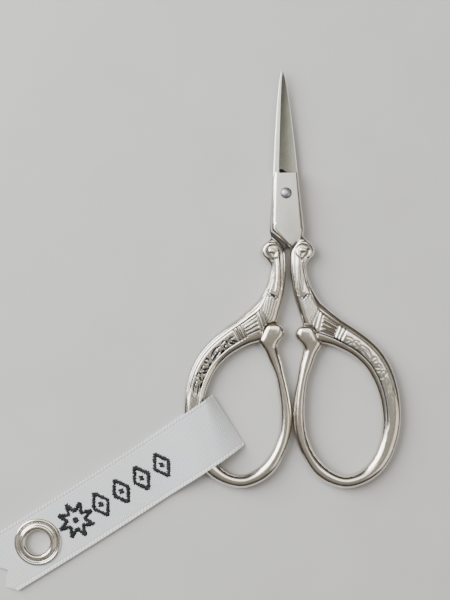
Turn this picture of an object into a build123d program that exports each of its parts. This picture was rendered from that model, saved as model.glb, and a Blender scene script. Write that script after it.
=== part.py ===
"""Embroidery scissors with a folded ribbon tag on one bow.

Millimetres, +Z up. The scissors lie closed on their back: +Y runs to the tips, and the
origin is on the pivot axis, in the plane that the scissors rest on. The back half carries
the left bow and the tag, and the front half, on top, carries the right bow.
"""

import os
from math import cos, radians, sin

from build123d import *

os.makedirs("parts", exist_ok=True)

# Blades and ricassos
blade_length = 28.0  # pivot to tip
plunge_y = 5.0  # the ground blade starts here, above the flat ricasso
half_thickness = 1.9  # one ricasso
blade_play = 0.03  # running gap between the two inside faces
spine_offset = 2.9  # pivot axis to the spine, at the plunge line
edge_inset = 0.5  # the cutting edge hides this far inside the other blade's spine
spine_strip = 1.4  # flat left along the spine by the grinding
edge_thickness = 0.2
tip_half_width = 0.18
tip_thickness = 0.55
belly_share = 0.55  # the blade's middle section, as a share of its length
belly_fullness = 0.58  # its width and height there, as a share of those at the plunge
ricasso_half_width = 3.65  # at its lower outer corner
ricasso_foot_y = -8.4
ricasso_point_y = -11.9  # lowest point of its slanted end
shoulder_gap = 0.5  # between a ricasso's slanted end and the other half's shoulder

# Bows, drawn for a right-hand half
bow_reach = 24.6  # centre line to the widest point of a bow
bow_bottom = 66.3  # pivot to the lowest point of the back bow
front_bow_drop = 0.8  # the front bow reaches this much lower
limb_gap = 0.2  # between the two inner limbs when closed
inner_limb = 2.75  # width of the round inner limb
outer_limb = 4.35  # width of the ornamented outer limb
bottom_limb = 3.0
hole_top = 33.7  # pivot to the top of the back finger hole
bow_round = 1.0  # rounding of the bows' edges
panel_recess = 0.5  # each face of the outer limb lies this much lower
panel_top_y = -41.0
panel_bottom_y = -63.0
panel_width = 10.1  # from its inner edge to the bow's widest point
shank_gap = 0.9  # between the two shanks, under the shoulders
volute_radius = 2.1
volute_x = 4.0
volute_y = -13.1
knob_radius = 1.95
knob_x = 3.45
knob_y = -31.7

# Pivot screw, fixed in the front half
screw_radius = 0.95
screw_running_gap = 0.05
screw_head_radius = 1.6
screw_head_depth = 0.65
screw_recess = 0.05
screw_end_radius = 1.1
screw_end_height = 0.4
slot_width = 0.36
slot_depth = 0.35

# Ribbon tag: distances along it run from the crease to the free end
ribbon_width = 13.6
ribbon_length = 62.9
ribbon_thickness = 0.28
ribbon_angle = 211.0  # direction from the crease to the free end, from +X
crease_inset = 9.8  # crease's middle to the bow's widest point
crease_y = -51.1
crease_height = 0.75
loop_rise = 3.0  # the loop climbs later along one edge than the other, as the limb slants
loop_top_start = 3.4
loop_top_end = 10.3
limb_clearance = 0.3
flex_at = 14.4  # the tag bends up about the line here
flex_height = 2.35
flex_gap = 0.35
plies_meet = 21.3  # from here to the end the two plies lie together
pink_pitch = 5.8
pink_depth = 2.6
pink_start = 0.6  # the first notch is centred this far beyond the left-hand edge
eyelet_at = 51.2
eyelet_bore = 2.8
eyelet_wall = 0.3
eyelet_clearance = 0.02
flange_radius = 5.4
flange_thickness = 0.4
washer_thickness = 0.45
washer_inner = 3.4
curl_radius = 3.95
curl_height = 0.5
star_at = 41.2  # crease to the star's centre
star_size = 8.4
lozenge_at = 18.0  # crease to the nearest lozenge's centre
lozenge_pitch = 5.5
lozenge_count = 4
lozenge_length = 4.4
lozenge_width = 6.4
motif_thickness = 0.12
motif_lift = 0.02

mid_z = half_thickness + blade_play / 2
top_z = 2 * half_thickness + blade_play


def bow_outline(drop):
    """Right-hand half from below its shoulder, round the bow and back to the knob."""
    limb_x = limb_gap / 2
    return [
        (4.75, -20.0 - drop / 2),
        (bow_reach - 13.3, -28.0 - drop / 2),
        (bow_reach - 3.9, -36.0 - drop),
        (bow_reach, -49.5 - drop),
        (bow_reach - 2.4, -59.8 - drop),
        (bow_reach / 2 - 0.5, -bow_bottom - drop),
        (limb_x + 2.4, -60.0 - drop),
        (limb_x, -50.6 - drop),
        (limb_x + 1.7, -40.0 - drop),
        (knob_x - 0.5, knob_y - knob_radius - drop),
    ]


def shank_outline(drop):
    """Inner side of a right-hand shank, from the knob up to the shoulder."""
    return [
        (knob_x - 0.5, knob_y + knob_radius - drop),
        (shank_gap / 2 + 0.9, -24.0 - drop / 2),
        (shank_gap / 2, -17.0),
    ]


def hole_outline(drop):
    """Finger hole of a right-hand half."""
    inner = limb_gap / 2 + inner_limb
    outer = bow_reach - outer_limb
    return [
        (inner + 4.5, -hole_top - drop),
        (outer - 6.1, -hole_top - 3.3 - drop),
        (outer - 1.2, -hole_top - 10.0 - drop),
        (outer, -51.6 - drop),
        (outer - 2.9, -60.2 - drop),
        (bow_reach / 2 - 0.6, -bow_bottom + bottom_limb - drop),
        (inner + 2.3, -59.0 - drop),
        (inner, -49.5 - drop),
        (inner + 1.55, -39.5 - drop),
    ]


def blade_outline(spine, edge, strip, thickness):
    """Cross-section of a ground blade: flat inside, spine strip, slope to the edge."""
    return [
        (-spine, 0),
        (-spine, thickness - strip / 4),
        (-spine + strip / 4, thickness),
        (-spine + strip, thickness),
        (edge, edge_thickness * thickness / half_thickness),
        (edge, 0),
    ]


def make_half(side, flip, drop, bore_radius):
    """side is +1 for the right-hand bow, and flip is +1 for the upper blade."""
    inside_z = mid_z + flip * blade_play / 2
    layer_z = min(inside_z, inside_z + flip * half_thickness)
    edge_offset = spine_offset - edge_inset
    stations = [
        (plunge_y, spine_offset, edge_offset, spine_strip, half_thickness),
        (
            plunge_y + (blade_length - plunge_y) * belly_share,
            spine_offset * belly_fullness,
            edge_offset * belly_fullness,
            spine_strip * belly_fullness,
            half_thickness * (1 + belly_fullness) / 2,
        ),
        (blade_length, tip_half_width, tip_half_width, tip_half_width, tip_thickness),
    ]
    corner = (ricasso_half_width, ricasso_foot_y)
    ricasso = [
        (-spine_offset, plunge_y),
        (-ricasso_half_width, ricasso_foot_y),
        (0, ricasso_point_y),
        (shank_gap, ricasso_point_y - 1),
        (volute_x, volute_y),
        corner,
        (edge_offset, plunge_y),
    ]
    shoulder = [
        (shank_gap / 2, -17.0),
        (shank_gap / 2 + 0.1, ricasso_point_y - 2.2),
        (shank_gap / 2 + 0.9, ricasso_point_y - 2 * shoulder_gap),
        (corner[0], corner[1] - shoulder_gap),
        (volute_x, volute_y - volute_radius - 1),
    ]
    outline = bow_outline(drop)
    shank = shank_outline(drop)

    def placed(points):
        return [(side * x, y) for x, y in points]

    with BuildPart() as half:
        # Shoulder, shank and bow, through the full height
        with BuildSketch():
            with BuildLine():
                Spline(*placed(shoulder[-1:] + outline))
                ThreePointArc(*placed([outline[-1], (knob_x - knob_radius, knob_y - drop), shank[0]]))
                Spline(*placed(shank))
                Polyline(*placed(shoulder))
            make_face()
        extrude(amount=top_z)
        with BuildSketch():
            with BuildLine():
                Spline(*placed(hole_outline(drop)), periodic=True)
            make_face()
        extrude(amount=top_z, mode=Mode.SUBTRACT)
        rims = half.edges().filter_by(GeomType.BSPLINE).filter_by(Plane.XY)
        fillet(rims, bow_round)
        with BuildSketch():
            with Locations((side * volute_x, volute_y)):
                Circle(volute_radius)
        extrude(amount=top_z)
        # The outer limb's ornamented faces lie lower
        for low, high in ((0, panel_recess), (top_z - panel_recess, top_z)):
            with BuildSketch(Plane.XY.offset(low)):
                with BuildLine():
                    Polyline(
                        *placed(
                            [
                                (bow_reach - panel_width, panel_top_y - drop),
                                (bow_reach + 1, panel_top_y - drop),
                                (bow_reach + 1, panel_bottom_y - drop),
                                (bow_reach - panel_width, panel_bottom_y - drop),
                            ]
                        ),
                        close=True,
                    )
                make_face()
            extrude(amount=high - low, mode=Mode.SUBTRACT)
        # Flat ricasso
        with BuildSketch(Plane.XY.offset(layer_z)):
            with BuildLine():
                Polyline(*placed(ricasso), close=True)
            make_face()
        extrude(amount=half_thickness)
        # Ground blade
        for y, spine, edge, strip, thickness in stations:
            with BuildSketch(Plane(origin=(0, y, inside_z), x_dir=(1, 0, 0), z_dir=(0, -1, 0))):
                with BuildLine():
                    outline = blade_outline(spine, edge, strip, thickness)
                    Polyline(*[(side * x, flip * z) for x, z in outline], close=True)
                make_face()
        loft(ruled=True)
        # Pivot bore
        with BuildSketch(Plane.XY.offset(layer_z)):
            Circle(bore_radius)
        extrude(amount=half_thickness, mode=Mode.SUBTRACT)
    return half


front_half = make_half(side=1, flip=1, drop=front_bow_drop, bore_radius=screw_radius)
front_half.part.label = "front_half"
export_step(front_half.part, "parts/front_half.step")

with BuildPart() as back_half:
    add(make_half(side=-1, flip=-1, drop=0, bore_radius=screw_radius + screw_running_gap).part)
    # Countersink for the screw's head, open at the resting face
    with BuildSketch(Plane.XZ):
        with BuildLine():
            Polyline(
                (0, 0),
                (screw_head_radius + screw_running_gap, 0),
                (screw_head_radius + screw_running_gap, screw_recess + screw_running_gap),
                (screw_radius + screw_running_gap, screw_recess + screw_head_depth + screw_running_gap),
                (0, screw_recess + screw_head_depth + screw_running_gap),
                close=True,
            )
        make_face()
    revolve(axis=Axis.Z, mode=Mode.SUBTRACT)
back_half.part.label = "back_half"
export_step(back_half.part, "parts/back_half.step")

with BuildPart() as pivot_screw:
    with BuildSketch(Plane.XZ):
        with BuildLine():
            head_z = screw_recess + screw_head_depth
            Polyline(
                (0, top_z + screw_end_height),
                (0, screw_recess),
                (screw_head_radius, screw_recess),
                (screw_radius, head_z),
                (screw_radius, top_z),
                (screw_end_radius, top_z),
            )
            RadiusArc(
                (screw_end_radius, top_z),
                (0, top_z + screw_end_height),
                -(screw_end_radius**2 + screw_end_height**2) / (2 * screw_end_height),
            )
        make_face()
    revolve(axis=Axis.Z)
    with BuildSketch(Plane.XY.offset(screw_recess)):
        Rectangle(2 * screw_head_radius + 1, slot_width)
    extrude(amount=slot_depth, mode=Mode.SUBTRACT)
pivot_screw.part.label = "pivot_screw"
export_step(pivot_screw.part, "parts/pivot_screw.step")

# Ribbon: X runs from the crease to the free end, Y across it
along = Vector(cos(radians(ribbon_angle)), sin(radians(ribbon_angle)), 0)
tag_plane = Plane(origin=(crease_inset - bow_reach, crease_y, 0), x_dir=along, z_dir=(0, 0, 1))
side_plane = Plane(origin=tag_plane.origin, x_dir=along, z_dir=-tag_plane.y_dir)
loop_top = top_z - panel_recess + limb_clearance + ribbon_thickness
tail_low_z = flange_thickness
tail_top_z = tail_low_z + 2 * ribbon_thickness


def loop_profile(shift):
    """Side outline of one edge of the loop; shift moves its high part along the ribbon."""
    wall = ribbon_thickness
    start = loop_top_start + shift
    end = loop_top_end + shift
    flex = flex_at - flex_gap / 2
    crease = min(0, start - wall / 2) - wall
    return [
        (crease, 0),
        (flex, 0),
        (flex, wall),
        (crease + wall, wall),
        (crease + wall, crease_height - wall),
        (start, loop_top - wall),
        (end - wall / 2, loop_top - wall),
        (flex, flex_height - wall),
        (flex, flex_height),
        (end, loop_top),
        (start - wall, loop_top),
        (crease, crease_height),
    ]


with BuildPart() as ribbon_loop:
    for across, shift in ((-ribbon_width / 2, -loop_rise), (ribbon_width / 2, loop_rise)):
        with BuildSketch(side_plane.offset(-across)):
            with BuildLine():
                Polyline(*loop_profile(shift), close=True)
            make_face()
    loft(ruled=True)
ribbon_loop.part.label = "ribbon_loop"
export_step(ribbon_loop.part, "parts/ribbon_loop.step")

with BuildPart() as ribbon_tail:
    flex = flex_at + flex_gap / 2
    with BuildSketch(side_plane):
        with BuildLine():
            Polyline(
                (flex, 0.05),
                (plies_meet, tail_low_z),
                (ribbon_length, tail_low_z),
                (ribbon_length, tail_top_z),
                (plies_meet, tail_top_z),
                (flex, flex_height),
                (flex, flex_height - ribbon_thickness),
                (plies_meet - 0.7, tail_low_z + ribbon_thickness),
                (flex, 0.05 + ribbon_thickness),
                close=True,
            )
        make_face()
    extrude(amount=ribbon_width / 2, both=True)
    # Pinked end: a notch between teeth, counted from the left-hand corner
    with BuildSketch(tag_plane):
        notches = int((ribbon_width + pink_start) // pink_pitch) + 1
        for notch in range(notches):
            centre = ribbon_width / 2 + pink_start - notch * pink_pitch
            with BuildLine():
                Polyline(
                    (ribbon_length - pink_depth, centre),
                    (ribbon_length + 0.1, centre - pink_pitch / 2),
                    (ribbon_length + 0.1, centre + pink_pitch / 2),
                    close=True,
                )
            make_face()
    extrude(amount=top_z, mode=Mode.SUBTRACT)
    with BuildSketch(tag_plane):
        with Locations((eyelet_at, 0)):
            Circle(eyelet_bore + eyelet_wall + eyelet_clearance)
    extrude(amount=top_z, mode=Mode.SUBTRACT)
ribbon_tail.part.label = "ribbon_tail"
export_step(ribbon_tail.part, "parts/ribbon_tail.step")

# Eyelet: the flange lies under the ribbon, and the barrel's end is curled over the washer
eyelet_plane = Plane(origin=tag_plane.from_local_coords((eyelet_at, 0, 0)), z_dir=(0, 0, 1))
washer_z = tail_top_z + eyelet_clearance
curl_z = washer_z + washer_thickness + eyelet_clearance

with BuildPart() as eyelet:
    with BuildSketch(eyelet_plane):
        Circle(flange_radius)
    extrude(amount=flange_thickness - eyelet_clearance)
    fillet(eyelet.edges().group_by(Axis.Z)[0], flange_thickness / 2)
    with BuildSketch(eyelet_plane):
        Circle(eyelet_bore + eyelet_wall)
    extrude(amount=curl_z + curl_height)
    with BuildSketch(eyelet_plane.offset(curl_z)):
        Circle(curl_radius)
    extrude(amount=curl_height)
    fillet(eyelet.edges().group_by(Axis.Z)[-1], curl_height * 0.7)
    with BuildSketch(eyelet_plane):
        Circle(eyelet_bore)
    extrude(amount=curl_z + curl_height, mode=Mode.SUBTRACT)
eyelet.part.label = "eyelet"
export_step(eyelet.part, "parts/eyelet.step")

with BuildPart() as eyelet_washer:
    with BuildSketch(eyelet_plane.offset(washer_z)):
        Circle(flange_radius)
    extrude(amount=washer_thickness)
    fillet(eyelet_washer.edges().group_by(Axis.Z)[-1], washer_thickness * 0.6)
    with BuildSketch(eyelet_plane.offset(washer_z)):
        Circle(washer_inner)
    extrude(amount=washer_thickness, mode=Mode.SUBTRACT)
eyelet_washer.part.label = "eyelet_washer"
export_step(eyelet_washer.part, "parts/eyelet_washer.step")

# Woven ornaments: a star beside the eyelet, then lozenges, raised on the upper ply
with BuildPart() as woven_motifs:
    low = motif_lift
    high = motif_lift + motif_thickness
    with BuildSketch(side_plane):
        with BuildLine():
            Polyline(
                (flex, flex_height + low),
                (plies_meet, tail_top_z + low),
                (ribbon_length, tail_top_z + low),
                (ribbon_length, tail_top_z + high),
                (plies_meet, tail_top_z + high),
                (flex, flex_height + high),
                close=True,
            )
        make_face()
    extrude(amount=ribbon_width / 2, both=True)
    with BuildSketch(tag_plane):
        with Locations((star_at, 0)):
            RegularPolygon(star_size / 2, 8)
        for count in range(lozenge_count):
            with Locations((lozenge_at + count * lozenge_pitch, 0)):
                Polygon(
                    (-lozenge_length / 2, 0),
                    (0, -lozenge_width / 2),
                    (lozenge_length / 2, 0),
                    (0, lozenge_width / 2),
                )
    extrude(amount=top_z, mode=Mode.INTERSECT)
woven_motifs.part.label = "woven_motifs"
export_step(woven_motifs.part, "parts/woven_motifs.step")
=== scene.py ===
"""Looks for the embroidery scissors and their ribbon tag.

The scissors lie closed on their back: +Y runs to the tips, +Z is up, and the pivot axis is
the Z axis. Shapes are worked out in millimetres and written to the meshes in metres. Both
halves come from one right-hand design, drawn round the middle plane and then lifted: the
front half is that design, and the back half is the same design turned over about the Y axis.
"""

import math
from collections import Counter

import bmesh
import bpy
import numpy as np
from mathutils import Matrix, Vector
from mathutils.kdtree import KDTree


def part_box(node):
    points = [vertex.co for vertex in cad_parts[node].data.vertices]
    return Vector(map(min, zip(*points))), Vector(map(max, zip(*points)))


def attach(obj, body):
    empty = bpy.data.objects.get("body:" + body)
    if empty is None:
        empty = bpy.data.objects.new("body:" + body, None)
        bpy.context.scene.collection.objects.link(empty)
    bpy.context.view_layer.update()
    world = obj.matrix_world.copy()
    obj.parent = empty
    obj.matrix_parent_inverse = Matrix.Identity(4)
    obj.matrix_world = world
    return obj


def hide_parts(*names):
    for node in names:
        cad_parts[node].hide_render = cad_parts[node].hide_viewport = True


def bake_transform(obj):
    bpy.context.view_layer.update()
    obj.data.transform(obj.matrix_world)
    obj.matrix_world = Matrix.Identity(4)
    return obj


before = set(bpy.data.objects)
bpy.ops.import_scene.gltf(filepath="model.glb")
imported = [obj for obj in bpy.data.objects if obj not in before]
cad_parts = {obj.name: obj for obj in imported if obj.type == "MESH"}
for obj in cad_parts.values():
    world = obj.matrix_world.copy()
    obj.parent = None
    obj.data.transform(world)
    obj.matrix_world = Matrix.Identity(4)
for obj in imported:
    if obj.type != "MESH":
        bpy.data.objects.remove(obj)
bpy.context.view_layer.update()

MM = 0.001

# ---------------------------------------------------------------- sizes of the two halves

top_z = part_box("front_half")[1].z / MM
mid_z = top_z / 2  # height of the middle plane, between the two halves
blade_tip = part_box("front_half")[1].y / MM
inside_gap = 0.03  # between the two blades
layer = mid_z - inside_gap / 2  # thickness of one ricasso
flat_z = inside_gap / 2 + layer  # the ricasso's outer face, from the middle plane
plunge = 4.6  # the ground blade starts here
blade_root = 2.84  # half the blade's width at the plunge
edge_share = 0.92  # the cutting edge's distance from the middle, to the spine's
bow_drop = 0.8  # the front bow reaches this much lower than the back one
drop_start, drop_run = 17, 14  # the drop grows from this far below the pivot, over this run
back_bore, front_bore = 1.0, 0.95  # radii: the screw turns in the back half
recess_radius = 1.27  # round the screw's domed end
# Hollows round the screw as (radius, height above the flat): for its domed end in the front
# half, and for its countersunk head in the back half
recesses = {
    1: [(recess_radius, -0.07), (recess_radius, 0.5)],
    -1: [(back_bore, -0.75), (1.65, -0.1), (1.65, 0.5)],
}


# ---------------------------------------------------------------- curves and meshes


def smooth_curve(rows, spacing):
    """Rows at about the given spacing on smooth curves through the given rows, with the
    row number (a fraction between two given rows) of each."""
    rows = np.array(rows, float)
    inner = np.linalg.norm(np.diff(rows[:, :2], axis=0), axis=1)
    outer = np.linalg.norm(np.diff(rows[:, 2:4], axis=0), axis=1)
    at = np.concatenate([[0], np.cumsum((inner + outer) / 2)])
    count = int(round(at[-1] / spacing))
    where = np.linspace(0, at[-1], count + 1)
    slope = np.gradient(rows, at, axis=0)
    index = np.clip(np.searchsorted(at, where, side="right") - 1, 0, len(at) - 2)
    span = (at[index + 1] - at[index])[:, None]
    t = ((where - at[index]) / span[:, 0])[:, None]
    out = (2 * t**3 - 3 * t**2 + 1) * rows[index] + (t**3 - 2 * t**2 + t) * span * slope[index]
    out += (3 * t**2 - 2 * t**3) * rows[index + 1] + (t**3 - t**2) * span * slope[index + 1]
    return out, index + t[:, 0]


def mesh_object(name, points, faces):
    """Points are in millimetres."""
    mesh = bpy.data.meshes.new(name)
    mesh.from_pydata((np.asarray(points, float) * MM).tolist(), [], faces)
    mesh.validate()
    obj = bpy.data.objects.new(name, mesh)
    bpy.context.scene.collection.objects.link(obj)
    return obj


def skin(name, rings, closed=False):
    """A closed mesh through rings of equally many points."""
    rings = np.asarray(rings, float)
    count, around = rings.shape[:2]
    faces = []
    for i in range(count if closed else count - 1):
        a, b = i * around, (i + 1) % count * around
        for j in range(around):
            k = (j + 1) % around
            faces.append((a + j, a + k, b + k, b + j))
    if not closed:
        faces.append(tuple(range(around))[::-1])
        faces.append(tuple((count - 1) * around + j for j in range(around)))
    obj = mesh_object(name, rings.reshape(-1, 3), faces)
    face_outward(obj)
    return obj


def face_outward(obj):
    work = bmesh.new()
    work.from_mesh(obj.data)
    bmesh.ops.recalc_face_normals(work, faces=work.faces)
    work.to_mesh(obj.data)
    work.free()


def modify(obj, kind, **settings):
    """Adds a modifier and applies it."""
    modifier = obj.modifiers.new(kind, kind)
    for key, value in settings.items():
        setattr(modifier, key, value)
    bpy.context.view_layer.update()
    evaluated = obj.evaluated_get(bpy.context.evaluated_depsgraph_get())
    mesh = bpy.data.meshes.new_from_object(evaluated)
    obj.modifiers.clear()
    obj.data = mesh
    return obj


def combine(obj, operation, others):
    """Unites the object with others, or cuts them from it, and removes them."""
    for other in others:
        modify(obj, "BOOLEAN", operation=operation, solver="MANIFOLD", object=other)
        bpy.data.objects.remove(other)


def smooth(obj, angle):
    """Smooth shading, with sharp edges where faces meet at more than an angle."""
    obj.data.polygons.foreach_set("use_smooth", np.ones(len(obj.data.polygons), bool))
    obj.data.set_sharp_from_angle(angle=math.radians(angle))


def cylinder(radius, height, centre=(0, 0, 0)):
    """radius and height are in millimetres, and the centre in metres."""
    bpy.ops.mesh.primitive_cylinder_add(vertices=64, radius=radius * MM, depth=height * MM)
    obj = bpy.context.object
    obj.location = centre
    return obj


# ---------------------------------------------------------------- one half, right-hand

# Rows of the limb, from the scroll down the shank, round the bow and up to the knob: a
# point of its inner side, the matching point of its outer side, and its half height. Rows are
# counted from the neck, so the scroll's rows have negative numbers
limb_rows = [
    (3.3, -9.7, 3.75, -9.75, 0.9),
    (2.55, -10.35, 4.35, -10.5, 1.5),
    (1.7, -11.15, 5.2, -11.2, 1.7),
    (1.08, -12.0, 5.95, -12.1, 1.72),
    (0.74, -12.9, 6.2, -13.1, 1.72),
    (0.55, -13.8, 5.85, -14.25, 1.72),
    (0.48, -14.8, 4.9, -15.2, 1.76),
    (0.45, -15.9, 4.25, -16.2, 1.82),
    (0.45, -17.5, 4.25, -17.4, 1.85),
    (0.72, -20.4, 4.8, -20.0, 1.88),
    (1.35, -24.0, 5.75, -22.2, 1.9),
    (2.2, -27.0, 6.3, -23.1, 1.9),
    (3.1, -29.9, 6.8, -23.9, 1.9),
    (5.0, -33.2, 7.5, -24.8, 1.9),
    (7.1, -33.8, 9.3, -26.4, 1.88),
    (9.2, -34.35, 11.7, -28.3, 1.8),
    (11.7, -35.5, 14.8, -30.45, 1.65),
    (14.3, -37.1, 18.0, -33.0, 1.5),
    (16.8, -39.6, 20.6, -35.8, 1.42),
    (18.5, -42.6, 22.7, -39.4, 1.4),
    (19.6, -45.7, 23.95, -43.5, 1.4),
    (20.2, -49.0, 24.6, -48.3, 1.4),
    (20.3, -52.2, 24.5, -52.4, 1.4),
    (19.8, -55.6, 23.6, -56.6, 1.4),
    (18.6, -58.9, 21.8, -60.8, 1.42),
    (16.8, -61.4, 19.1, -64.0, 1.55),
    (14.5, -63.1, 15.7, -66.0, 1.72),
    (11.6, -63.7, 11.6, -66.8, 1.75),
    (9.2, -62.9, 7.7, -65.7, 1.7),
    (6.9, -61.2, 4.6, -63.5, 1.62),
    (4.7, -58.2, 2.2, -59.7, 1.55),
    (3.5, -55.2, 0.75, -55.9, 1.5),
    (2.95, -52.0, 0.12, -51.8, 1.5),
    (2.87, -49.0, 0.2, -48.6, 1.5),
    (3.15, -45.5, 0.66, -45.0, 1.5),
    (3.8, -41.7, 1.45, -41.2, 1.5),
    (5.0, -38.5, 2.05, -38.1, 1.52),
    (5.95, -36.2, 2.6, -36.0, 1.62),
    (6.75, -34.9, 2.75, -34.7, 1.72),
    (7.15, -33.8, 2.15, -33.5, 1.83),
    (6.8, -32.6, 1.45, -32.6, 1.88),
    (6.3, -31.5, 1.2, -31.6, 1.88),
    (5.7, -30.5, 1.6, -30.5, 1.8),
    (5.0, -29.85, 2.5, -29.75, 1.4),
    (4.4, -29.55, 3.3, -29.5, 0.6),
]
neck_row = 7  # its place in the list is row number 0
root_row = 22  # from here on the inner limb and its knob
knob_row = 31.5  # from here on the knob alone
knob = (3.72, -31.85, 2.25)  # x, y and radius of the seat that the knob stands in
row_spacing = 0.13
faces_across = 60

# Rows where the parts of the relief start and end, and their pitches and length in mm
rim_row, relief_end_row = 2.6, 13.2
pebble_row = 3.1
collar_row, second_collar_row = 5.55, 8.0
collar_ribs, collar_pitch, second_collar_pitch = 2, 0.95, 0.85
foliage_row, foliage_length = 8.75, 9.4  # length of one repeat
inner_rim, outer_rim, rim_groove = 0.27, 0.78, 0.88  # shares of the limb's width
flute_count = 4.5  # across the panel between the collars


def bump(x, low, high, soft):
    """1 between low and high, and smoothly 0 outside."""
    rise = np.clip((x - low) / soft + 0.5, 0, 1)
    fall = np.clip((high - x) / soft + 0.5, 0, 1)
    return rise * rise * (3 - 2 * rise) * fall * fall * (3 - 2 * fall)


def groove(distance, width):
    """Depth share of a groove with a round bottom; width is from its middle to a side."""
    return np.clip(1 - (distance / width) ** 2, 0, 1)


def ripple(x, pitch):
    """0 on the crests and 1 in the valleys between them."""
    return 0.5 - 0.5 * np.cos(2 * math.pi * x / pitch)


def stroke(s, q, start, bend, end, width):
    """Depth share of an engraved stroke that tapers at both ends; s and q are in mm."""
    depth = np.zeros_like(s)
    for t in np.linspace(0, 1, 15):
        x = (1 - t) ** 2 * start[0] + 2 * t * (1 - t) * bend[0] + t * t * end[0]
        y = (1 - t) ** 2 * start[1] + 2 * t * (1 - t) * bend[1] + t * t * end[1]
        local = width * (0.35 + 0.65 * math.sin(math.pi * t))
        depth = np.maximum(depth, groove(np.hypot(s - x, q - y), local))
    return depth


def leaf_spray(s, q):
    """Depth share of one repeat of the scrolling foliage, about 2.2 mm wide."""
    depth = np.zeros_like(s)
    for start, bend, end, width in (
        # V-shaped leaves
        ((0.0, 0.1), (0.5, 0.5), (1.0, 1.2), 0.24),
        ((0.7, 0.05), (1.3, 0.3), (1.7, 0.95), 0.24),
        ((0.2, 1.5), (0.9, 1.9), (1.6, 1.6), 0.2),
        # S-scroll
        ((2.3, 1.9), (1.7, 1.1), (2.5, 1.1), 0.19),
        ((2.5, 1.1), (3.5, 1.1), (3.2, 0.4), 0.22),
        ((3.2, 0.4), (2.8, 0.0), (2.3, 0.3), 0.19),
        ((2.3, 1.9), (3.0, 2.1), (3.2, 1.6), 0.18),
        # hollow between the scroll and the inner rim
        ((3.6, 0.2), (4.2, 0.15), (4.9, 0.2), 0.36),
        # lance leaf
        ((4.0, 1.6), (5.8, 2.1), (7.4, 0.9), 0.28),
        ((4.6, 0.8), (6.2, 0.5), (7.6, 0.4), 0.3),
        ((4.9, 1.3), (5.9, 1.35), (6.9, 0.95), 0.12),
        # small scroll beyond its tip
        ((7.9, 0.9), (7.7, 1.9), (8.4, 1.9), 0.2),
        ((8.4, 1.9), (9.0, 1.6), (8.6, 1.0), 0.2),
        ((8.0, 0.2), (8.5, 0.5), (9.1, 0.2), 0.28),
    ):
        depth = np.maximum(depth, stroke(s, q, start, bend, end, 1.2 * width))
    return depth


def crease(x, y, path):
    """Depth share of a groove along a path of (x, y, half width) points."""
    depth = np.zeros_like(x)
    for a, b in zip(path, path[1:]):
        steps = max(2, int(math.dist(a[:2], b[:2]) / 0.06))
        for t in np.linspace(0, 1, steps):
            px, py, width = (a[i] + (b[i] - a[i]) * t for i in range(3))
            near = 1 - ((x - px) ** 2 + (y - py) ** 2) / width**2
            depth = np.maximum(depth, near)
    return np.clip(depth, 0, 1)


def scroll_relief(x, y):
    """Height change and painted shade, darkening in the creases, of the scroll and the flutes
    that run down from it.
    """
    height = np.zeros_like(x)
    dark = np.zeros_like(x)
    # Rim round the scroll, and the bud inside it
    rim = np.abs(np.hypot((x - 3.75) / 1.05, y + 13.0) - 1.62)
    height += 0.13 * np.clip(1 - (rim / 0.5) ** 2, 0, 1) * bump(y, -14.6, -10.5, 0.6)
    bud = np.hypot((x - 3.5) / 0.85, (y + 12.95) / 0.52)
    height += 0.17 * np.sqrt(np.clip(1 - bud**2, 0, 1))
    for path, deep, tone in (
        # over the bud and down between the inner band and the ridge
        (
            [
                (4.35, -12.2, 0.16),
                (3.95, -11.85, 0.28),
                (3.3, -11.68, 0.34),
                (2.6, -11.9, 0.34),
                (2.0, -12.6, 0.36),
                (1.75, -13.6, 0.4),
                (1.6, -16.0, 0.44),
                (1.65, -19.0, 0.4),
                (1.75, -21.0, 0.28),
                (1.95, -22.8, 0.05),
            ],
            0.16,
            0.32,
        ),
        # outside the bud, into the underside of the scroll, where the painted shade is deepest
        (
            [
                (4.5, -12.5, 0.18),
                (4.65, -13.0, 0.3),
                (4.4, -13.75, 0.36),
                (3.9, -14.3, 0.38),
                (3.4, -14.75, 0.34),
                (3.1, -15.1, 0.15),
            ],
            0.3,
            0.85,
        ),
        # under the bud and down beside the ridge
        (
            [
                (4.0, -13.55, 0.14),
                (3.45, -13.6, 0.24),
                (3.0, -14.0, 0.32),
                (2.85, -15.0, 0.36),
                (2.85, -17.0, 0.42),
                (3.05, -19.5, 0.5),
                (3.3, -21.8, 0.25),
            ],
            0.11,
            0.22,
        ),
        # inner edge of the outer bevel
        (
            [
                (3.4, -15.6, 0.12),
                (3.4, -16.8, 0.2),
                (3.55, -18.2, 0.24),
                (3.85, -19.8, 0.22),
                (4.3, -21.2, 0.18),
                (4.75, -22.2, 0.14),
            ],
            0.12,
            0.28,
        ),
        # creases that give the eye its corners
        ([(3.95, -22.85, 0.16), (3.6, -23.2, 0.26), (3.3, -23.6, 0.18)], 0.18, 1.6),
    ):
        depth = crease(x, y, path)
        height -= deep * depth
        dark = np.maximum(dark, tone * depth)
    # The eye: two small beads beside the slanting crease, each ringed with painted shade
    for px, py in ((4.25, -23.1), (3.0, -23.7)):
        away = np.hypot(x - px, y - py)
        height += 0.08 * np.clip(1 - (away / 0.26) ** 2, 0, 1)
        ring = np.clip(1 - ((away - 0.32) / 0.16) ** 2, 0, 1)
        height -= 0.08 * ring
        dark = np.maximum(dark, 0.8 * ring)
    return height, dark


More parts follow.
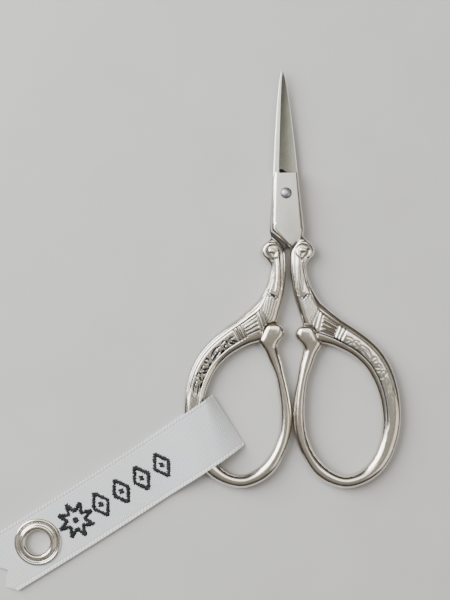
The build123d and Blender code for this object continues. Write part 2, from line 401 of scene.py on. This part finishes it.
def limb_relief(row, s, v, width, marks, strength):
    """Height change in mm and painted shade, darkening in the grooves and hollows, of the limb's
    two ornamented faces.

    row is the row number, s the way along in mm, v the share across from the inner side,
    and marks gives s for a row number."""
    height = np.zeros_like(s)
    dark = np.zeros_like(s)
    q = (v - inner_rim) * width
    # Grooves set off and divide the outer rim, and one sets off the inner rim: painted shade in
    # each
    rim = bump(row, rim_row, relief_end_row, 0.8)
    line = groove((v - outer_rim) * width, 0.18) * rim
    height -= 0.18 * line
    dark += 0.45 * line
    line = groove((v - rim_groove) * width, 0.16) * rim * strength
    height -= 0.1 * line
    dark += 0.4 * line
    # Along the inner rim a painted dark reflection, strongest on the front half
    inner_line = groove(q, 0.3 - 0.12 * strength)
    inner_line = inner_line * bump(row, collar_row + 0.6, relief_end_row + 2, 0.8)
    height -= 0.12 * inner_line
    dark += (1.25 - 0.75 * strength) * inner_line
    # Pebbled field: rows of beads in a slightly sunk triangle, with painted shade between them
    field_width = (outer_rim - inner_rim) * width
    field = bump(row, pebble_row, collar_row - 0.12, 0.25) * bump(q, 0.15, field_width - 0.2, 0.3)
    columns, beads = ripple(q, 0.72), ripple(s, 0.5)
    height -= field * (0.06 * columns + 0.06 * beads)
    dark += field * (0.06 + 0.2 * columns + 0.3 * beads)
    # Collars and the fluted panel between them, with painted shade in the grooves, deeper near
    # the inner rim
    ornament = bump(v, inner_rim, outer_rim, 0.04)
    for first, pitch in ((collar_row, collar_pitch), (second_collar_row, second_collar_pitch)):
        start = marks(first)
        for rib in range(collar_ribs + 1):
            line = groove(s - start - rib * pitch, 0.27) * ornament
            height -= 0.2 * line
            dark += (0.45 + 0.45 * bump(q, -0.2, 0.5, 0.3)) * line
    start = marks(collar_row) + collar_ribs * collar_pitch + 0.25
    panel = bump(s, start, marks(second_collar_row) - 0.25, 0.2) * ornament
    flutes = ripple((v - inner_rim) / (outer_rim - inner_rim), 1 / flute_count)
    height -= 0.2 * panel * flutes
    dark += panel * flutes**2 * (0.2 + 0.35 * strength + 0.4 * bump(q, -0.2, 0.8, 0.3))
    # Scrolling foliage, fading where the bow is held most, with painted shade in its cuts
    spray = marks(foliage_row)
    ornament = ornament * bump(row, 0, relief_end_row, 1.5)
    for repeat in range(4):
        depth = leaf_spray(s - spray - repeat * foliage_length, q)
        fade = 1 - 0.12 * repeat
        height -= 0.26 * fade * depth * ornament * strength
        dark += 1.7 * fade * depth * ornament * strength**1.5
    return height, np.clip(dark, 0, 1)


def make_limb(name, drop, strength):
    """Scroll, shank, bow and knob as one swept mesh, with the painted shade of its points.

    drop moves the bow down, and strength is the depth of the relief."""
    rows, number = smooth_curve(limb_rows, row_spacing)
    number -= neck_row
    # Beyond the relief, every third row is enough
    keep = (number < relief_end_row) | (np.arange(len(number)) % 3 == 0)
    keep[-1] = True
    rows, number = rows[keep], number[keep]
    inner, outer, half_height = rows[:, :2], rows[:, 2:4], rows[:, 4]
    middle = (inner + outer) / 2
    along = np.concatenate([[0], np.cumsum(np.linalg.norm(np.diff(middle, axis=0), axis=1))])

    def marks(row):
        return float(np.interp(row, number, along))

    width = np.linalg.norm(outer - inner, axis=1)
    turn = np.linspace(0, math.pi, faces_across + 1)
    spread = -0.6 * np.cos(turn) + 0.4 * (2 * turn / math.pi - 1)
    across = np.concatenate([spread, -spread[1:-1]])
    side = np.concatenate([np.ones(faces_across + 1), -np.ones(faces_across - 1)])
    # The shank is squarer in section than the round inner limb
    roundness = 2.7 - 0.35 * bump(number, 9, 99, 4) - 0.35 * bump(number, 15, 99, 4)
    roundness += bump(number, knob_row, 99, 2)  # the knob has a flatter top again
    level = side * (1 - np.abs(across) ** roundness[:, None]) ** (1 / roundness[:, None])
    share = (across + 1) / 2
    rings = np.zeros((len(rows), len(across), 3))
    rings[:, :, :2] = inner[:, None] + (outer - inner)[:, None] * share[:, None]
    grid_s = np.broadcast_to(along[:, None], level.shape)
    grid_v = np.broadcast_to(share, level.shape)
    grid_row = np.broadcast_to(number[:, None], level.shape)
    height, dark = limb_relief(grid_row, grid_s, grid_v, width[:, None], marks, strength)
    scroll_height, scroll_dark = scroll_relief(rings[:, :, 0], rings[:, :, 1])
    height, dark = height + scroll_height, np.maximum(dark, scroll_dark)
    face = bump(np.abs(level), 0.35, 2, 0.4)
    rings[:, :, 2] = level * half_height[:, None] + side * height * face
    # The shank is sunk round the knob, which stands in it as in a seat
    from_knob = np.hypot(rings[:, :, 0] - knob[0], rings[:, :, 1] - knob[1])
    sunk = 1 - 0.42 * bump(from_knob, -9, knob[2] + 0.22, 0.35)
    sunk = np.where(grid_row < root_row, sunk, 1)
    rings[:, :, 2] *= sunk
    rings[:, :, 1] -= drop * bow_share(rings[:, :, 1])
    obj = skin(name, rings)
    return obj, rings.reshape(-1, 3), (dark * face).ravel()


def bow_share(y):
    """How much of the bow's drop applies at a place: none at the neck, all on the bow."""
    t = np.clip((-y - drop_start) / drop_run, 0, 1)
    return t * t * (3 - 2 * t)


def blade_half_width(y):
    """Plan of a closed blade: full at the plunge, drawn in to the point."""
    return blade_root * np.clip((blade_tip - y) / (blade_tip - plunge), 0, 1) ** 0.62


def make_ricasso(name):
    """The flat by the pivot, in its own layer: inside face at the middle plane, bevels
    round the outer face."""
    foot = [(-2.86, 4.75), (-3.6, -6.6), (-3.65, -8.5), (0.3, -12.0), (0.95, -12.9)]
    foot += [(3.3, -11.2), (3.88, -8.5), (2.8, 4.75)]
    flat = [(-1.55, 4.62), (-2.15, -6.6), (-2.66, -7.75), (0.52, -11.45), (0.8, -11.3)]
    flat += [(1.9, -9.7), (2.95, -8.1), (2.25, 4.62)]
    foot, flat = np.array(foot), np.array(flat)
    rings = []
    # How far in from the foot to the flat, and how far up
    for share, rise in ((0, 0), (0, 0.55), (0.12, 0.72), (0.5, 0.93), (0.62, 0.965), (1, 1)):
        ring = foot + (flat - foot) * share
        level = inside_gap / 2 + rise * layer
        rings.append(np.column_stack([ring, np.full(len(ring), level)]))
    return skin(name, rings)


def make_blade(name):
    """Ground blade: rounded spine strip, ridge, then a hollow slope to the edge."""
    low = inside_gap / 2
    rings = []
    for y in plunge - 0.9 + (blade_tip - plunge + 0.9) * np.linspace(0, 1, 90) ** 0.9:
        half = max(float(blade_half_width(max(y, plunge))), 0.07)
        share = half / blade_root
        edge = half * edge_share
        strip = min(1.3 * share**0.75, half * 0.9)
        thick = 0.35 + 1.35 * share**0.9
        hollow = 0.16 * share
        ring = [(-half, 0), (-half, 0.84 * thick), (-half + 0.05 * strip, 0.95 * thick)]
        ring += [(-half + 0.25 * strip, 0.99 * thick), (-half + strip, thick)]
        for t in np.linspace(0, 1, 13)[1:]:
            x = -half + strip + (edge + half - strip) * t
            z = thick + (0.14 - thick) * t - hollow * math.sin(math.pi * t)
            ring.append((x, z))
        ring.append((edge, 0))
        rings.append([(x, y, low + z) for x, z in ring])
    return skin(name, rings)


def make_plunge_notch():
    """Wedge that the grinding wheel cuts at the plunge line, longest by the spine."""
    low, high = plunge - 0.06, flat_z + 0.3
    rings = []
    # Its top reaches this far past the plunge, and its foot lies this deep under the flat
    for x, reach, depth in (
        (-1.3, 1.45, 0.91),
        (-0.85, 2.34, 1.22),
        (-0.2, 1.87, 1.28),
        (0.5, 1.27, 1.36),
        (2.1, 1.97, 1.73),
    ):
        rings.append([(x, low, flat_z - depth), (x, low, high), (x, plunge + reach, high)])
    return skin("notch", rings)


def make_recess(profile):
    """Turned hollow about the pivot from (radius, height above the flat) points."""
    turn = np.arange(64) * 2 * math.pi / 64
    rings = []
    for radius, height in profile:
        level = np.full(len(turn), flat_z + height)
        rings.append(np.column_stack([radius * np.cos(turn), radius * np.sin(turn), level]))
    return skin("recess", rings)


def add_painted_shade(half, points, dark):
    """Writes the limb's painted shade to the united mesh's points. The corner under the flat's
    slanted end, where the halves meet, the wheel's notch and the ring round the screw get
    painted shade as well."""
    tree = KDTree(len(points))
    for index, point in enumerate(points):
        tree.insert(point, index)
    tree.balance()
    values = []
    for vertex in half.data.vertices:
        _, index, distance = tree.find(vertex.co / MM)
        x, y, z = vertex.co / MM
        in_corner = abs(z) < 0.1 and y < -8
        in_notch = -1.4 < x < 2.3 and plunge - 0.1 < y < plunge + 1.3 and 0.1 < z < layer - 0.1
        in_recess = math.hypot(x, y) < recess_radius + 0.02 and layer - 0.1 < z < layer - 0.02
        # painted shadow: the gap where the halves meet, the wheel's notch and the ring round the
        # screw's end
        if in_corner or in_notch or in_recess:
            values.append(0.95)
        else:
            values.append(dark[index] if distance < 0.05 else 0)
    painted_shade = half.data.attributes.new("painted_shade", "FLOAT", "POINT")
    painted_shade.data.foreach_set("value", np.array(values, np.float32))


def make_half(name, side, strength, bore_radius):
    """side is 1 for the front half and -1 for the back half, which is turned over."""
    half, limb_points, limb_dark = make_limb(name, side * bow_drop / 2, strength)
    combine(half, "UNION", [make_ricasso("ricasso"), make_blade("blade")])
    tools = [cylinder(bore_radius, 8), make_plunge_notch(), make_recess(recesses[side])]
    combine(half, "DIFFERENCE", tools)
    add_painted_shade(half, limb_points, limb_dark)
    if side < 0:
        half.data.transform(Matrix.Rotation(math.pi, 4, "Y"))
    half.data.transform(Matrix.Translation((0, 0, mid_z * MM)))
    smooth(half, 38)
    return half


# ---------------------------------------------------------------- materials


def material(name):
    new = bpy.data.materials.new(name)
    new.use_nodes = True
    nodes, links = new.node_tree.nodes, new.node_tree.links
    return new, nodes, links, nodes["Principled BSDF"]


def feed(links, value, socket):
    """Links another node's output to the socket, or writes a plain value there."""
    if hasattr(value, "links"):
        links.new(value, socket)
    elif isinstance(value, tuple):
        socket.default_value = (*value, 1)
    else:
        socket.default_value = value


def noise_node(nodes, links, scale, detail, stretch=(1, 1, 1)):
    place = nodes.new("ShaderNodeTexCoord")
    mapping = nodes.new("ShaderNodeMapping")
    mapping.inputs["Scale"].default_value = stretch
    links.new(place.outputs["Object"], mapping.inputs["Vector"])
    texture = nodes.new("ShaderNodeTexNoise")
    texture.inputs["Scale"].default_value = scale
    texture.inputs["Detail"].default_value = detail
    links.new(mapping.outputs["Vector"], texture.inputs["Vector"])
    return texture.outputs["Fac"]


def remap(nodes, links, value, low, high, from_low=0.3, from_high=0.7):
    node = nodes.new("ShaderNodeMapRange")
    node.inputs["From Min"].default_value = from_low
    node.inputs["From Max"].default_value = from_high
    node.inputs["To Min"].default_value = low
    node.inputs["To Max"].default_value = high
    links.new(value, node.inputs["Value"])
    return node.outputs["Result"]


def mix_colour(nodes, links, share, a, b):
    node = nodes.new("ShaderNodeMix")
    node.data_type = "RGBA"
    feed(links, a, node.inputs[6])
    feed(links, b, node.inputs[7])
    links.new(share, node.inputs[0])
    return node.outputs[2]


def math_node(nodes, links, operation, a, b):
    node = nodes.new("ShaderNodeMath")
    node.operation = operation
    node.use_clamp = True
    feed(links, a, node.inputs[0])
    feed(links, b, node.inputs[1])
    return node.outputs[0]


def bump_node(nodes, links, height, strength, distance):
    node = nodes.new("ShaderNodeBump")
    node.inputs["Strength"].default_value = strength
    node.inputs["Distance"].default_value = distance
    links.new(height, node.inputs["Height"])
    return node.outputs["Normal"]


def nickel(name, light, warm, rough, stretch=(1, 1, 1), painted_shade=False):
    """Nickel plate with faint clouding and fine wear scratches; optionally, painted shade, near
    black, in the recesses and gaps, from a mesh attribute and from occlusion.
    """
    new, nodes, links, shader = material(name)
    shader.inputs["Metallic"].default_value = 1
    clouds = noise_node(nodes, links, 420, 3)
    colour = mix_colour(nodes, links, remap(nodes, links, clouds, 0, 1), light, warm)
    scratches = noise_node(nodes, links, 2600, 6, stretch)
    roughness = remap(nodes, links, scratches, rough * 0.8, rough * 1.35)
    if painted_shade:
        # Painted shade: the mesh's darkening attribute and an occlusion term darken the colour to
        # near black, and dull it
        recess = nodes.new("ShaderNodeAttribute")
        recess.attribute_name = "painted_shade"
        cavity = nodes.new("ShaderNodeAmbientOcclusion")
        cavity.inputs["Distance"].default_value = 0.9 * MM
        cavity.samples = 8
        cavity.only_local = True
        shade = remap(nodes, links, cavity.outputs["AO"], 0.7, 0, 0.2, 0.75)
        painted_darkness = math_node(nodes, links, "MAXIMUM", recess.outputs["Fac"], shade)
        colour = mix_colour(nodes, links, painted_darkness, colour, (0.02, 0.024, 0.035))
        dull = math_node(nodes, links, "MULTIPLY", painted_darkness, 0.35)
        roughness = math_node(nodes, links, "ADD", roughness, dull)
    links.new(colour, shader.inputs["Base Color"])
    links.new(roughness, shader.inputs["Roughness"])
    links.new(bump_node(nodes, links, scratches, 0.02, 0.02 * MM), shader.inputs["Normal"])
    return new


bright_nickel = nickel("nickel_bright", (0.78, 0.745, 0.68), (0.69, 0.63, 0.53), 0.17, painted_shade=True)
satin_nickel = nickel("nickel_satin", (0.61, 0.61, 0.58), (0.56, 0.56, 0.52), 0.38, (1, 9, 1))
ground_nickel = nickel("nickel_ground", (0.63, 0.66, 0.57), (0.57, 0.58, 0.49), 0.3, (1, 14, 1))
screw_steel = nickel("screw_steel", (0.46, 0.45, 0.48), (0.38, 0.37, 0.4), 0.42)
ring_nickel = nickel("eyelet_nickel", (0.8, 0.77, 0.72), (0.7, 0.66, 0.58), 0.18)
polished, satin, ground = range(3)  # a half's material slots


def finish_half(half):
    """The flat by the pivot and the strip along the spine are satin, the rest of the blade
    is ground, and the limb is polished."""
    half.data.materials.clear()
    for finish in (bright_nickel, satin_nickel, ground_nickel):
        half.data.materials.append(finish)
    for face in half.data.polygons:
        _, y, z = face.center / MM
        outer = abs(z - mid_z) > layer - 0.03
        level = abs(face.normal.z)
        if outer and level > 0.99 and -11.7 < y < plunge + 0.2:
            face.material_index = satin
        elif y > plunge + 0.12 and level > 0.985:
            face.material_index = satin
        elif y > plunge + 0.12 and (level > 0.9 or y > plunge + 1):
            face.material_index = ground
        else:
            face.material_index = polished
    # A crisp outline keeps the satin faces flat in the light
    satin_faces = [face for face in half.data.polygons if face.material_index == satin]
    uses = Counter(key for face in satin_faces for key in face.edge_keys)
    for edge in half.data.edges:
        if uses[edge.key] == 1:
            edge.use_edge_sharp = True


front = make_half("front_half_look", 1, 0.26, front_bore)
back = make_half("back_half_look", -1, 1.0, back_bore)
for half, node, body in ((front, "front_half", "front"), (back, "back_half", "back")):
    finish_half(half)
    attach(half, body)
    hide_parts(node)


# ---------------------------------------------------------------- ribbon tag

# Places on the ribbon are s, from the crease towards the free end, and t, across from its
# middle line
ribbon_width = 13.6
ribbon_end = 62.9  # crease to the tips of the pinked end
ribbon_thick = 0.24
ribbon_turn = math.radians(211.0)
ribbon_sag = 0.5  # the ribbon's edges bow this much in plan
crease_middle = np.array((-14.8, -51.1))
fold_radius = 0.2
limb_crown = 3.58  # the upper ply's middle surface over the limb
tail_levels = (0.54, 0.82)  # middle surfaces of the two plies where they lie together
meet = 21.3  # from here on they do
flex = 14.4  # the tag bends here
pink_pitch, pink_depth, pink_first = 5.8, 2.6, 7.4  # the zigzag, and t of its first notch
pink_run = 6  # the sheet is drawn in over this much of its free end
ribbon_hole = 3.12  # radius, round the eyelet's barrel
star_at, lozenge_at, lozenge_pitch, lozenge_count = 41.2, 18.0, 5.5, 4
ribbon_along = np.array((math.cos(ribbon_turn), math.sin(ribbon_turn)))
ribbon_across = np.array((-ribbon_along[1], ribbon_along[0]))


def ease(t):
    t = np.clip(t, 0, 1)
    return t * t * (3 - 2 * t)


def crease_level(t):
    """The crease stands higher at the edge that is tight against the limb."""
    return 0.42 + 0.85 * np.clip(0.5 - t / ribbon_width, 0, 1) ** 1.5


def upper_level(s, t):
    """Height of the upper ply: up from the crease, over the slanting limb, down to the tail."""
    crown_start = 4.4 + 0.36 * t
    crown = 7.3 + 0.37 * t
    start = crease_level(t) + fold_radius
    climb = np.sin(np.clip(s / crown_start, 0, 1) * math.pi / 2) ** 0.75
    rise = start + (limb_crown - start) * climb
    fall = limb_crown + (tail_levels[1] - limb_crown) * ease((s - crown) / (meet - crown))
    return np.minimum(rise, fall)


def lower_level(s, t):
    """Height of the lower ply: flat under the limb, then up to the tail's level."""
    floor_level = ribbon_thick / 2 + 0.07
    start = crease_level(t) - fold_radius
    fall = floor_level + (start - floor_level) * (1 - ease(s / 2.6))
    return fall + (tail_levels[0] - floor_level) * ease((s - flex) / (meet - flex))


def pinked(s, t):
    """Draws the sheet's last stretch in to its zigzag end."""
    phase = (pink_first - t) / pink_pitch
    cut = pink_depth * np.abs(2 * (phase - np.floor(phase)) - 1)
    last = ribbon_end - pink_run
    return np.where(s > last, last + (s - last) * (pink_run - cut) / pink_run, s)


def sag(s):
    """How far the ribbon's middle line bows to one side."""
    return ribbon_sag * np.sin(np.clip(s / ribbon_end, 0, 1) * math.pi)


def ribbon_point(s, t, z):
    """From the ribbon's own directions to the shared frame; its edges bow a little."""
    plan = crease_middle + ribbon_along * np.expand_dims(s, -1)
    plan = plan + ribbon_across * np.expand_dims(t + sag(s), -1)
    return np.concatenate([plan, np.expand_dims(z, -1)], -1)


def make_ribbon():
    """One strip folded in two, as a thick sheet: the lower ply, the crease, the upper ply."""
    edge = ribbon_width / 2
    middle = np.linspace(-edge + 1, edge - 1, 44)
    selvage = np.linspace(0, 1, 9)
    across = np.concatenate([selvage - edge, middle[1:], edge - 1 + selvage[1:]])
    run = ribbon_end * np.linspace(0, 1, 211) ** 1.15
    rows, lengths = [], []
    for place in run[:0:-1]:
        s = np.full_like(across, place)
        rows.append((pinked(s, across), lower_level(s, across)))
        lengths.append(-place)
    for turn in np.linspace(-math.pi / 2, math.pi / 2, 9):
        s = np.full_like(across, -fold_radius * math.cos(turn))
        rows.append((s, crease_level(across) + fold_radius * math.sin(turn)))
        lengths.append(fold_radius * turn)
    for place in run[1:]:
        s = np.full_like(across, place)
        rows.append((pinked(s, across), upper_level(s, across)))
        lengths.append(place)
    # The selvages stand out from both plies, except near the crease
    ridge = 0.05 * bump(np.abs(across), edge - 0.55, edge + 1, 0.15)
    ridge -= 0.05 * groove(np.abs(across) - edge + 0.75, 0.2)
    grid = []
    for length, (s, z) in zip(lengths, rows):
        lift = np.sign(length) * ridge if abs(length) > 1 else 0
        grid.append(ribbon_point(s, across, z + lift))
    grid = np.array(grid)
    count, width = grid.shape[:2]
    faces = []
    for i in range(count - 1):
        for j in range(width - 1):
            a = i * width + j
            faces.append((a, a + 1, a + width + 1, a + width))
    ribbon = mesh_object("ribbon", grid.reshape(-1, 3), faces)
    modify(ribbon, "SOLIDIFY", thickness=ribbon_thick * MM, offset=0, use_even_offset=False)
    face_outward(ribbon)
    combine(ribbon, "DIFFERENCE", [cylinder(ribbon_hole, 10, eyelet_centre)])
    lay_out_weave(ribbon)
    smooth(ribbon, 50)
    return ribbon


def lay_out_weave(ribbon):
    """Gives the ribbon the directions its threads run in: along and across, in cm."""
    points = np.zeros(len(ribbon.data.vertices) * 3)
    ribbon.data.vertices.foreach_get("co", points)
    away = points.reshape(-1, 3)[:, :2] / MM - crease_middle
    s = away @ ribbon_along
    t = away @ ribbon_across - sag(s)
    loops = np.zeros(len(ribbon.data.loops), int)
    ribbon.data.loops.foreach_get("vertex_index", loops)
    for layout in list(ribbon.data.uv_layers):
        ribbon.data.uv_layers.remove(layout)
    weave = ribbon.data.uv_layers.new(name="weave")
    weave.data.foreach_set("uv", (np.stack([s, t], 1)[loops] / 10).ravel())


def make_stitches(name, paths, stroke_width, seed):
    """Satin stitch along closed paths of (s, t) corners: short threads side by side."""
    random = np.random.default_rng(seed)
    pitch, half_thread = 0.26, 0.17
    points, faces = [], []
    around, long = 7, 6
    for path in paths:
        path = np.array(path, float)
        for a, b in zip(path, np.roll(path, -1, 0)):
            run = np.linalg.norm(b - a)
            ahead = (b - a) / run
            beside = np.array((-ahead[1], ahead[0]))
            for k in range(int(run / pitch) + 1):
                middle = a + ahead * (k * pitch + random.uniform(-0.05, 0.05))
                half = stroke_width / 2 * random.uniform(0.72, 1.2)
                lean = ahead * 0.14 * random.uniform(-1, 1)
                base = len(points)
                for i in range(long):
                    u = -1 + 2 * i / (long - 1)
                    centre = middle + (beside * half + lean) * u
                    thin = max(0.12, math.sqrt(max(0, 1 - u * u))) ** 0.5
                    for j in range(around):
                        turn = 2 * math.pi * j / around
                        s, t = centre + ahead * half_thread * thin * math.cos(turn)
                        z = upper_level(s, t) + ribbon_thick / 2 + 0.02
                        z += 0.13 * thin * (0.6 + math.sin(turn)) * (1 - 0.35 * u * u)
                        points.append(ribbon_point(s, t, z))
                for i in range(long - 1):
                    for j in range(around):
                        n = (j + 1) % around
                        c = base + i * around
                        faces.append((c + j, c + n, c + around + n, c + around + j))
                faces.append(tuple(base + j for j in range(around))[::-1])
                faces.append(tuple(base + (long - 1) * around + j for j in range(around)))
    obj = mesh_object(name, points, faces)
    smooth(obj, 60)
    return obj


def lozenge(centre, long, wide):
    """Corners (s, t) on the ribbon's middle line."""
    long, wide = long / 2, wide / 2
    return [(centre - long, 0), (centre, -wide), (centre + long, 0), (centre, wide)]


def star(centre, tip, root):
    """Corners of an eight-pointed star; tip and root are radii."""
    corners = []
    for k in range(16):
        turn, reach = math.pi * k / 8, tip if k % 2 == 0 else root
        corners.append((centre + reach * math.cos(turn), reach * math.sin(turn)))
    return corners


def lathe(name, profile, segments=96):
    """A ring round the eyelet's axis from a closed profile of (radius, height) points."""
    profile = np.array(profile, float)
    turn = np.arange(segments) * 2 * math.pi / segments
    rings = np.zeros((segments, len(profile), 3))
    rings[:, :, 0] = np.cos(turn)[:, None] * profile[:, 0] + eyelet_centre.x / MM
    rings[:, :, 1] = np.sin(turn)[:, None] * profile[:, 0] + eyelet_centre.y / MM
    rings[:, :, 2] = profile[:, 1]
    obj = skin(name, rings, closed=True)
    smooth(obj, 40)
    return obj


def arc(centre, radii, start, stop, count=10):
    """Points (radius, height) on part of an ellipse; angles in degrees."""
    turn = np.radians(np.linspace(start, stop, count))
    return list(zip(centre[0] + radii[0] * np.cos(turn), centre[1] + radii[1] * np.sin(turn)))


def ribbon_material():
    """White satin weave: fine crossed threads, brighter twisted threads at the selvages."""
    new, nodes, links, shader = material("ribbon_white")
    place = nodes.new("ShaderNodeTexCoord")
    split = nodes.new("ShaderNodeSeparateXYZ")
    links.new(place.outputs["UV"], split.inputs[0])

    def threads(angle, scale, distortion):
        mapping = nodes.new("ShaderNodeMapping")
        mapping.inputs["Rotation"].default_value = (0, 0, math.radians(angle))
        links.new(place.outputs["UV"], mapping.inputs["Vector"])
        wave = nodes.new("ShaderNodeTexWave")
        wave.inputs["Scale"].default_value = scale
        wave.inputs["Distortion"].default_value = distortion
        links.new(mapping.outputs["Vector"], wave.inputs["Vector"])
        return wave.outputs["Fac"]

    weave = math_node(nodes, links, "MULTIPLY", threads(52, 6.6, 0.3), threads(-38, 6.6, 0.3))
    # Selvage: a band of slanting threads near each edge, from this far out in cm
    distance = nodes.new("ShaderNodeMath")
    distance.operation = "ABSOLUTE"
    links.new(split.outputs["Y"], distance.inputs[0])
    band_share = remap(nodes, links, distance.outputs[0], 0, 1, 0.606, 0.614)
    edge_threads = math_node(nodes, links, "MULTIPLY", band_share, threads(35, 4.6, 0))
    # Warm and cool patches in the white, spread at random: a painted satin sheen
    warm = mix_colour(nodes, links, weave, (0.6, 0.605, 0.58), (0.98, 0.98, 0.96))
    cool = mix_colour(nodes, links, weave, (0.57, 0.6, 0.64), (0.93, 0.96, 1.0))
    tone = remap(nodes, links, noise_node(nodes, links, 120, 3), 0, 1)
    plain = mix_colour(nodes, links, tone, warm, cool)
    border = remap(nodes, links, distance.outputs[0], 0, 1, 0.596, 0.602)
    plain = mix_colour(nodes, links, border, plain, (0.57, 0.58, 0.57))
    colour = mix_colour(nodes, links, edge_threads, plain, (0.96, 0.97, 0.97))
    links.new(colour, shader.inputs["Base Color"])
    shader.inputs["Roughness"].default_value = 0.62
    shader.inputs["Sheen Weight"].default_value = 0.25
    height = math_node(nodes, links, "ADD", weave, edge_threads)
    links.new(bump_node(nodes, links, height, 0.6, 0.08 * MM), shader.inputs["Normal"])
    return new


def thread_material():
    """Black cotton: fine fibres with a little sheen."""
    new, nodes, links, shader = material("black_thread")
    fibres = noise_node(nodes, links, 3500, 4, (1, 5, 1))
    tone = remap(nodes, links, fibres, 0, 1)
    colour = mix_colour(nodes, links, tone, (0.002, 0.002, 0.003), (0.008, 0.009, 0.013))
    links.new(colour, shader.inputs["Base Color"])
    shader.inputs["Roughness"].default_value = 0.5
    shader.inputs["Specular IOR Level"].default_value = 0.35
    shader.inputs["Sheen Weight"].default_value = 0.05
    links.new(bump_node(nodes, links, fibres, 0.5, 0.03 * MM), shader.inputs["Normal"])
    return new


eyelet_low, eyelet_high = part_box("eyelet")
eyelet_centre = (eyelet_low + eyelet_high) / 2
washer_low, washer_high = (corner.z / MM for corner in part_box("eyelet_washer"))
curl_top = eyelet_high.z / MM

ribbon = make_ribbon()
ribbon.data.materials.clear()
ribbon.data.materials.append(ribbon_material())
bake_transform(ribbon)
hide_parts("ribbon_loop", "ribbon_tail")

places = [lozenge_at + k * lozenge_pitch for k in range(lozenge_count)]
motifs = [lozenge(place, 3.8, 5.9) for place in places]
motifs += [lozenge(place, 0.5, 0.9) for place in places]
motifs += [star(star_at, 4.1, 1.95), lozenge(star_at, 0.7, 0.9)]
stitches = make_stitches("stitched_motifs", motifs, 1.0, seed=4)
stitches.data.materials.append(thread_material())
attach(stitches, "tag")
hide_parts("woven_motifs")

washer = lathe(
    "washer",
    [(3.4, washer_low), (5.3, washer_low)]
    + arc((4.95, washer_low + 0.05), (0.45, 0.4), 0, 160)
    + arc((4.3, washer_low + 0.32), (0.25, 0.12), 330, 200, 6)
    + [(3.9, washer_low + 0.3), (3.4, washer_low + 0.3)],
)
grommet = lathe(
    "grommet",
    arc((5.1, 0.2), (0.3, 0.19), 270, 450, 9)
    + [(3.4, 0.37), (3.12, 0.5), (3.1, washer_high - 0.1), (3.3, washer_high + 0.02)]
    + arc((3.5, curl_top - 0.25), (0.45, 0.25), 290, 500, 16)
    + [(2.86, curl_top - 0.32), (2.8, curl_top - 0.6), (2.8, 0.45), (3.1, 0.08), (3.5, 0.02)],
)
for ring, node in ((washer, "eyelet_washer"), (grommet, "eyelet")):
    ring.data.materials.append(ring_nickel)
    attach(ring, "tag")
    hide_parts(node)

# ---------------------------------------------------------------- screw, floor, light, camera

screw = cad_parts["pivot_screw"]
screw.data.materials.clear()
screw.data.materials.append(screw_steel)


def make_floor():
    bpy.ops.mesh.primitive_plane_add(size=3, location=(0, 0, 0))
    floor = bpy.context.object
    floor.name = "floor"
    paper, nodes, links, shader = material("floor_paper")
    tone = remap(nodes, links, noise_node(nodes, links, 60, 3), 0, 1)
    colour = mix_colour(nodes, links, tone, (0.56, 0.55, 0.54), (0.53, 0.52, 0.51))
    links.new(colour, shader.inputs["Base Color"])
    shader.inputs["Roughness"].default_value = 0.85
    floor.data.materials.append(paper)


def area_light(name, place, target, size, power, colour=(1, 1, 1)):
    light = bpy.data.lights.new(name, "AREA")
    light.shape = "RECTANGLE"
    light.size, light.size_y = size
    light.energy = power
    light.color = colour
    obj = bpy.data.objects.new(name, light)
    obj.location = place
    obj.rotation_euler = (Vector(target) - Vector(place)).to_track_quat("-Z", "Y").to_euler()
    bpy.context.scene.collection.objects.link(obj)


def make_world():
    """Dim near the floor and warm overhead, as soft surroundings for the metal to mirror."""
    world = bpy.data.worlds.new("studio")
    bpy.context.scene.world = world
    world.use_nodes = True
    nodes, links = world.node_tree.nodes, world.node_tree.links
    place = nodes.new("ShaderNodeTexCoord")
    split = nodes.new("ShaderNodeSeparateXYZ")
    links.new(place.outputs["Generated"], split.inputs[0])
    ramp = nodes.new("ShaderNodeValToRGB")
    stops = ramp.color_ramp.elements
    stops[0].position, stops[0].color = 0.0, (0.03, 0.03, 0.03, 1)
    stops[1].position, stops[1].color = 1.0, (0.42, 0.41, 0.38, 1)
    for position, colour in (
        (0.22, (0.05, 0.048, 0.05, 1)),
        (0.5, (0.11, 0.1, 0.1, 1)),
        (0.8, (0.36, 0.33, 0.28, 1)),
    ):
        stops.new(position).color = colour
    links.new(split.outputs["Z"], ramp.inputs["Fac"])
    links.new(ramp.outputs["Color"], nodes["Background"].inputs["Color"])
    nodes["Background"].inputs["Strength"].default_value = 0.9


make_floor()
make_world()
centre = (-0.0145, -0.0237, 0)
area_light("window", (-0.42, 0.22, 0.4), centre, (0.45, 0.6), 8.5, (0.95, 0.98, 1))
area_light("ceiling", (0.12, 0.3, 0.9), centre, (0.7, 0.5), 3, (1, 0.99, 0.97))
area_light("fill", (0.6, -0.3, 0.5), centre, (0.5, 0.5), 1, (1, 0.93, 0.84))

camera_height = 0.302
view_half, view_reach = 0.068, 0.3  # half the picture's height, seen at this distance
camera = bpy.data.cameras.new("camera")
camera.sensor_fit = "VERTICAL"
camera.angle_y = 2 * math.atan(view_half / view_reach)
camera.clip_start = 0.01
view = bpy.data.objects.new("camera", camera)
view.location = (centre[0], centre[1], camera_height)
view.rotation_euler = (0, 0, math.radians(-1.7))
bpy.context.scene.collection.objects.link(view)
bpy.context.scene.camera = view
